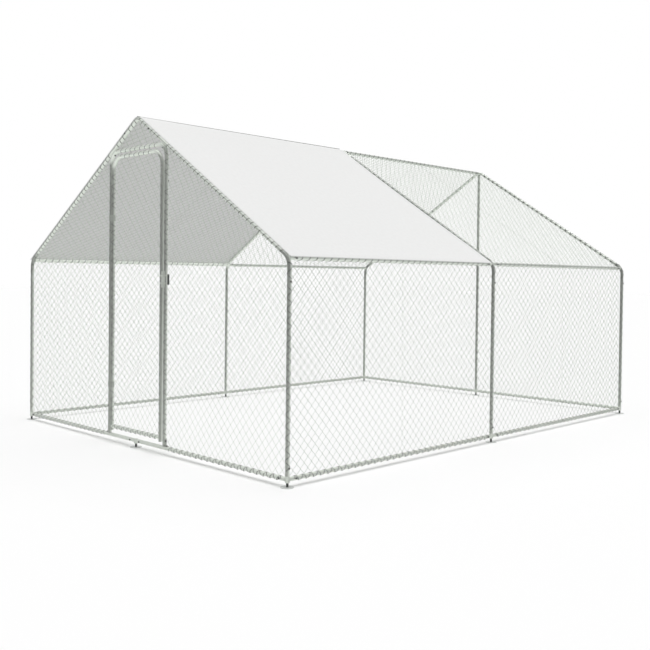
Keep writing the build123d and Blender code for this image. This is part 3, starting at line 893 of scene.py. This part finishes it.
def hook(work, foot, net_side, height, bare):
    """A net's zigzag edge bent round an upright from its net's side, left off in bare bands of height."""
    thick = tie_flat * tie_wire_r
    reach = tube_r + thick
    beside = net_side.cross(up)
    rise = post_pitch / 2
    level = foot.z
    hand = 1
    while level < height:
        if not any(low < level + rise and level < high for low, high in bare):
            rings = []
            for i in range(tie_points):
                share = i / (tie_points - 1)
                angle = hand * tie_half_turn * (2 * share - 1)
                radial = net_side * math.cos(angle) + beside * math.sin(angle)
                spot = Vector((foot.x, foot.y, level + rise * share)) + radial * reach
                wide, deep = up * tie_wire_r, radial * thick
                rings.append([spot + wide, spot + deep, spot - wide, spot - deep])
            work.add(rings)
        level += rise
        hand = -hand


def lace_rails():
    """Net edges wrapped round the bottom rails, the eave rails and the ridge."""
    rails, eaves, ridge = WireWork(), WireWork(), WireWork()
    for near, far in bays:
        for sign in (-1, 1):
            x = sign * half_width
            ends, pitch = between_screws(Vector((x, near, rail_level)), Vector((x, far, rail_level)))
            wind_crossed(rails, ends, up, pitch, rail_wire_r, slack=rail_slack)
            x = sign * eave_offset
            ends, pitch = between_screws(Vector((x, near, eave_level)), Vector((x, far, eave_level)))
            wind(eaves, ends, up, pitch, edge_wire_r)
        ends, pitch = between_screws(Vector((0, near, ridge_level)), Vector((0, far, ridge_level)))
        wind(ridge, ends, up, pitch, edge_wire_r)
    bracket_end = bracket_edge + bracket_room
    for sign in (-1, 1):
        x = sign * half_width
        ends, pitch = between_screws(Vector((x, rear_y, rail_level)), Vector((0, rear_y, rail_level)))
        wind_crossed(rails, ends, up, pitch, rail_wire_r, slack=rail_slack)
        corner = sign * (half_width - rail_screw + rail_pitch / 4)
        ends = [Vector((corner, front_y, rail_level)), Vector((sign * bracket_end, front_y, rail_level))]
        wind_crossed(rails, ends, up, rail_pitch, rail_wire_r, slack=rail_slack)
    rails.make("bottom_rail_lacing", "frame", edge_wire)
    eaves.make("eave_rail_lacing", "frame", edge_wire)
    ridge.make("ridge_lacing", "frame", edge_wire)


def rafter_joints(arch, sign, y):
    """Bare places on a rafter: its joints, its screw, and in the front arch the bend of the header."""
    down_slope = Vector((sign * math.cos(slope), 0, -math.sin(slope)))
    bare = [
        (Vector((sign * eave_offset, y, eave_level)), eave_joint_room),
        (Vector((0, y, peak_level)) + down_slope * ridge_screw, ridge_screw_room),
        (Vector((0, y, ridge_level)), ridge_joint_room),
    ]
    if arch == "front":
        touch = jamb_offset - header_bend + (header_bend + 2 * tube_r) * math.sin(slope)
        bare.append((Vector((sign * touch, y, peak_level - math.tan(slope) * touch)), header_room))
    return bare


def lace_arches():
    """Thin ties up the posts and net edges wrapped round the rafters of each arch."""
    bend_start = eave_bend * math.tan((math.pi / 2 - slope) / 2) + bend_room
    tie_foot = rail_level + post_screw - diamond_height / 4
    for arch, y in (("front", front_y), ("mid", mid_y), ("rear", rear_y)):
        ties, edges = WireWork(), WireWork()
        screw_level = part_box(f"{arch}_right_post")[1].z - swage_screw
        for sign in (-1, 1):
            x = sign * half_width
            corner = Vector((x, y, eave_level))
            bend = corner - up * bend_start
            post = [Vector((x, y, tie_foot)), bend]
            screw = (Vector((x, y, screw_level)), screw_room)
            wind_crossed(ties, post, along_run, post_pitch, tie_wire_r, [screw], meets=tie_corner)
            rafter = bent_line([bend, corner, Vector((0, y, peak_level))], eave_bend)
            bare = rafter_joints(arch, sign, y)
            if arch == "front":
                wind(edges, rafter, along_run, gable_pitch, edge_wire_r, bare)
            elif arch == "mid" and sign < 0:  # in the cover's shade only a thin wire shows
                wind(edges, rafter, along_run, slope_pitch, net_wire_r, bare)
            else:
                wind_crossed(edges, rafter, along_run, slope_pitch, edge_wire_r, bare)
        if arch == "rear":
            post = [Vector((0, y, tie_foot)), Vector((0, y, ridge_level - rear_post_room))]
            wind_crossed(ties, post, across_run, post_pitch, tie_wire_r)
        ties.make(f"{arch}_post_ties", "frame", tie_wire)
        edges.make(f"{arch}_rafter_lacing", "frame", edge_wire)


def strap_bands():
    """The heights at which the hinge straps close round the tubes."""
    levels = sorted(v.co.z for v in frame["nodes"]["hinge_straps"].data.vertices)
    lower_top, upper_foot = next((a, b) for a, b in zip(levels, levels[1:]) if b - a > strap_spacing)
    lower = (strap_low.z - strap_room, lower_top + strap_room)
    upper = (upper_foot - strap_room, strap_high.z + strap_room)
    return [lower, upper]


def lace_doorway():
    """Ties hooked round the jambs, and the net's edge wrapped round the header."""
    ties, edge = WireWork(), WireWork()
    top = header_level - header_bend
    foot = bracket_top + bracket_room
    screw_level = jamb_top - swage_screw
    screw_band = (screw_level - screw_room, screw_level + screw_room)
    hook(ties, Vector((-jamb_offset, front_y, foot)), -across_run, top, strap_bands() + [screw_band])
    hook(ties, Vector((jamb_offset, front_y, foot)), across_run, top, [latch_band, screw_band])
    reach = jamb_offset - header_bend
    ends = [Vector((-reach, front_y, header_level)), Vector((reach, front_y, header_level))]
    wind(edge, ends, up, rail_pitch, top_wire_r)
    ties.make("jamb_ties", "frame", tie_wire)
    edge.make("header_lacing", "frame", edge_wire)


def lace_door():
    """Ties hooked round the door's stiles, and the net's edges wrapped round its top and bottom."""
    ties, edge = WireWork(), WireWork()
    foot, top = door_foot + door_corner_room, door_top - door_bend
    hook(ties, Vector((hinge_stile_x, front_y, foot)), across_run, top, strap_bands())
    hook(ties, Vector((latch_stile_x, front_y, foot)), -across_run, top, [latch_band])
    left, right = Vector((hinge_stile_x, front_y, 0)), Vector((latch_stile_x, front_y, 0))
    high, bend = up * door_top, across_run * door_bend
    wind(edge, [left + high + bend, right + high - bend], up, rail_pitch, top_wire_r)
    low, clear = up * door_foot, across_run * door_corner_room
    ends = [left + low + clear, right + low - clear]
    wind_crossed(edge, ends, up, rail_pitch, rail_wire_r, slack=rail_slack)
    ties.make("stile_ties", "door", tie_wire)
    edge.make("door_edge_lacing", "door", edge_wire)


def cover_line():
    """The line that the cover follows over the front rafters, with its seam on the ridge."""
    peak = peak_level + cover_lift / math.cos(slope)
    reach = (peak - cover_edge_level) / math.tan(slope)
    edges = [Vector((-reach, 0, cover_edge_level)), Vector((reach, 0, cover_edge_level))]
    crest_r = ridge_bend + cover_lift
    marks = bent_line([edges[0], Vector((0, 0, peak)), edges[1]], crest_r)
    half = sum((b - a).length for a, b in zip(marks, marks[1:])) / 2
    crest = cover_columns
    line = even_points(marks, half / crest)[: 2 * crest] + [edges[1]]
    seam = []
    for off in (-cover_seam, -cover_seam / 2, cover_seam / 2, cover_seam):
        turn = off / crest_r
        seam.append(Vector((crest_r * math.sin(turn), 0, line[crest].z - crest_r * (1 - math.cos(turn)))))
    return line[:crest] + seam + line[crest + 1 :]


def cover_rows():
    """The cover's rows along the run, close together at its hems."""
    length = cover_rear - cover_front
    first = cover_hem_rows[-1] + cover_row_gap
    last = length - cover_hem_rows[-1] - cover_row_gap
    field = [first + (last - first) * i / cover_mid_rows for i in range(cover_mid_rows + 1)]
    return list(cover_hem_rows) + field + [length - row for row in reversed(cover_hem_rows)]


def cover_stretch(x):
    """How far the rear edge reaches past its row: most at the left eave, least at the right corner."""
    leftward = min(1.0, max(0.0, -x / eave_offset))
    near_corner = max(0.0, (x - cover_corner_start) / (eave_offset - cover_corner_start))
    return cover_reach + cover_skew * leftward - cover_corner * near_corner**2


def cover_slack(x, y):
    """How slack the cover lies: none at the ridge, the eaves and the front rafters, and full between them."""
    across = min(1.0, abs(x) / eave_offset)
    behind = min(1.0, max(0.0, (y - front_y) / cover_fall))
    return math.sin(math.pi * across) ** cover_belly * behind * behind * (3 - 2 * behind)


def sheet_faces(columns, rows):
    """The upper and lower face of a thin sheet, closed all round its edge."""
    under = columns * rows
    faces = []
    for i in range(columns - 1):
        for j in range(rows - 1):
            a = i * rows + j
            b = a + rows
            faces.append((a, a + 1, b + 1, b))
            faces.append((under + a, under + b, under + b + 1, under + a + 1))
    for i in range(columns - 1):
        for j in (0, rows - 1):
            a, b = i * rows + j, (i + 1) * rows + j
            faces.append((a, b, under + b, under + a) if j == 0 else (b, a, under + a, under + b))
    for j in range(rows - 1):
        for i in (0, columns - 1):
            a, b = i * rows + j, i * rows + j + 1
            faces.append((b, a, under + a, under + b) if i == 0 else (a, b, under + b, under + a))
    return faces


def make_cover():
    """One sheet of cloth over the front bay, hemmed all round; it hangs between the ridge and the eaves."""
    line = cover_line()
    rows = cover_rows()
    lengths = [0.0]
    for a, b in zip(line, line[1:]):
        lengths.append(lengths[-1] + (b - a).length)
    width, length = lengths[-1], rows[-1]
    points, lie = [], []
    for face in (1, 0):
        for i, spot in enumerate(line):
            ahead = line[min(i + 1, len(line) - 1)] - line[max(i - 1, 0)]
            outward = Vector((-ahead.z, 0, ahead.x)).normalized()
            for row in rows:
                y = cover_front + row * (1 + cover_stretch(spot.x) / length)
                slack = cover_slack(spot.x, y)
                wave = noise.noise(Vector((spot.x * ripples_across, y * ripples_along, ripple_layer)))
                from_edge = min(lengths[i], width - lengths[i], row, length - row)
                folded = 1.0 if from_edge <= cover_hem else 0.0
                cloth = face * (cover_cloth + cover_hem_rise * folded)
                rise = cloth - cover_drop * slack + cover_ripple * slack * wave
                if abs(spot.x) < cover_seam_crown:
                    low, high = cover_seam_rise
                    rise += low + (high - low) * row / length
                points.append(Vector((spot.x, y, spot.z)) + outward * rise)
                lie.append((lengths[i], row))
    faces = sheet_faces(len(line), len(rows))
    finish = cover_finish(width, length)
    cover = make_piece("front_bay_cover", points, faces, finish, "frame")
    layer = cover.data.uv_layers.new(name="cover_lie")
    for loop in cover.data.loops:
        layer.data[loop.index].uv = lie[loop.vertex_index]
    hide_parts("roof_cover")
    cast_no_shade(cover)


def show_stage(tree, output, unseen, seen):
    """One shader for rays that see the stage, straight, mirrored or through glass, and one for the rest."""
    rays = put(tree, "ShaderNodeLightPath").outputs
    direct = reckon(tree, "MAXIMUM", rays["Is Camera Ray"], rays["Is Glossy Ray"])
    watching = reckon(tree, "MAXIMUM", direct, rays["Is Transmission Ray"])
    mixed = put(tree, "ShaderNodeMixShader", {0: watching, 1: unseen.outputs[0], 2: seen.outputs[0]})
    put(tree, output, {"Surface": mixed.outputs[0]})


def make_floor():
    """A white floor that throws back less light than it shows."""
    floor_seen, floor_bounce = (0.96, 0.96, 0.96, 1.0), (0.68, 0.68, 0.68, 1.0)
    bpy.ops.mesh.primitive_plane_add(size=120)
    floor = bpy.context.object
    floor.name = "studio_floor"
    finish = bpy.data.materials.new("studio_floor")
    finish.use_nodes = True
    tree = finish.node_tree
    tree.nodes.clear()
    seen = put(tree, "ShaderNodeBsdfDiffuse", {"Color": floor_seen})
    bounce = put(tree, "ShaderNodeBsdfDiffuse", {"Color": floor_bounce})
    show_stage(tree, "ShaderNodeOutputMaterial", bounce, seen)
    floor.data.materials.append(finish)


def make_light():
    """A white surround that glows from the right and the rear, and a soft light overhead."""
    white = (1.0, 1.0, 1.0, 1.0)
    glow_side = (0.75, 0.66, 0.0)
    glow_gain, glow_base = 0.45, 0.16
    world = bpy.data.worlds.new("studio")
    world.use_nodes = True
    scene.world = world
    tree = world.node_tree
    tree.nodes.clear()
    way = put(tree, "ShaderNodeTexCoord").outputs["Generated"]
    from_side = reckon(tree, "MULTIPLY_ADD", towards(tree, way, glow_side), glow_gain, glow_base)
    glow = reckon(tree, "MAXIMUM", from_side, 0.0)
    soft = put(tree, "ShaderNodeBackground", {"Color": white, "Strength": glow})
    plain = put(tree, "ShaderNodeBackground", {"Color": white, "Strength": 1.0})
    show_stage(tree, "ShaderNodeOutputWorld", soft, plain)

    light = bpy.data.lights.new("overhead_softbox", "SUN")
    light.energy = 2.64
    light.angle = math.radians(70)
    overhead = bpy.data.objects.new("overhead_softbox", light)
    scene.collection.objects.link(overhead)


def make_camera():
    """The photograph's viewpoint."""
    lens = bpy.data.cameras.new("viewpoint")
    lens.lens = 47.71
    lens.sensor_width = 36.0
    lens.shift_x = -0.0013
    lens.shift_y = -0.0490
    lens.clip_end = 200.0
    camera = bpy.data.objects.new("viewpoint", lens)
    stand = Vector((4.956, -5.127, 1.155))
    right = Vector((0.70716, 0.70693, 0.01134))
    above = Vector((-0.02147, 0.00544, 0.99968))
    back = Vector((0.70667, -0.70722, 0.01902))
    turn = Matrix((right, above, back)).transposed().to_4x4()
    camera.matrix_world = Matrix.Translation(stand) @ turn
    scene.collection.objects.link(camera)
    scene.camera = camera


make_camera()
dress_frame()
net_walls_and_roof()
net_gables()
net_door()
lace_rails()
lace_arches()
lace_doorway()
lace_door()
make_cover()
make_floor()
make_light()
scene.view_settings.view_transform = "Standard"
